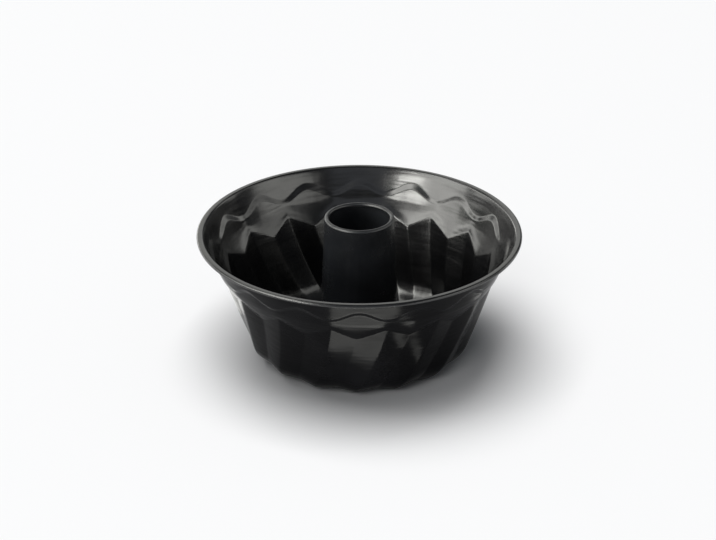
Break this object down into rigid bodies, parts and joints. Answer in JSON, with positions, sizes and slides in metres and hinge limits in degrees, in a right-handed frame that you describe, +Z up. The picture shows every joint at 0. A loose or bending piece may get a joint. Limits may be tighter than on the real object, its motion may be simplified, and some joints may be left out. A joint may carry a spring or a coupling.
{
  "type": "kugelhopf mould",
  "caption": "Deep ring cake mould in black coated steel, with a flared arched band, twisted flutes, a rolled rim and an open centre tube, for baking a kugelhopf.",
  "frame": {"origin": "on the table under the middle of the mould, on the axis of the centre tube", "axes": "+Z up along the centre tube, -Y towards the camera of the picture, +X to its right"},
  "size_m": [0.24, 0.24, 0.1091],
  "materials": {
    "nonstick_coating": "semi-gloss black non-stick coating on steel",
    "wire_steel": "plain drawn wire"
  },
  "bodies": {
    "root": {"fluted_body": "nonstick_coating", "centre_tube": "nonstick_coating", "rim_wire": "wire_steel"}
  },
  "joints": []
}
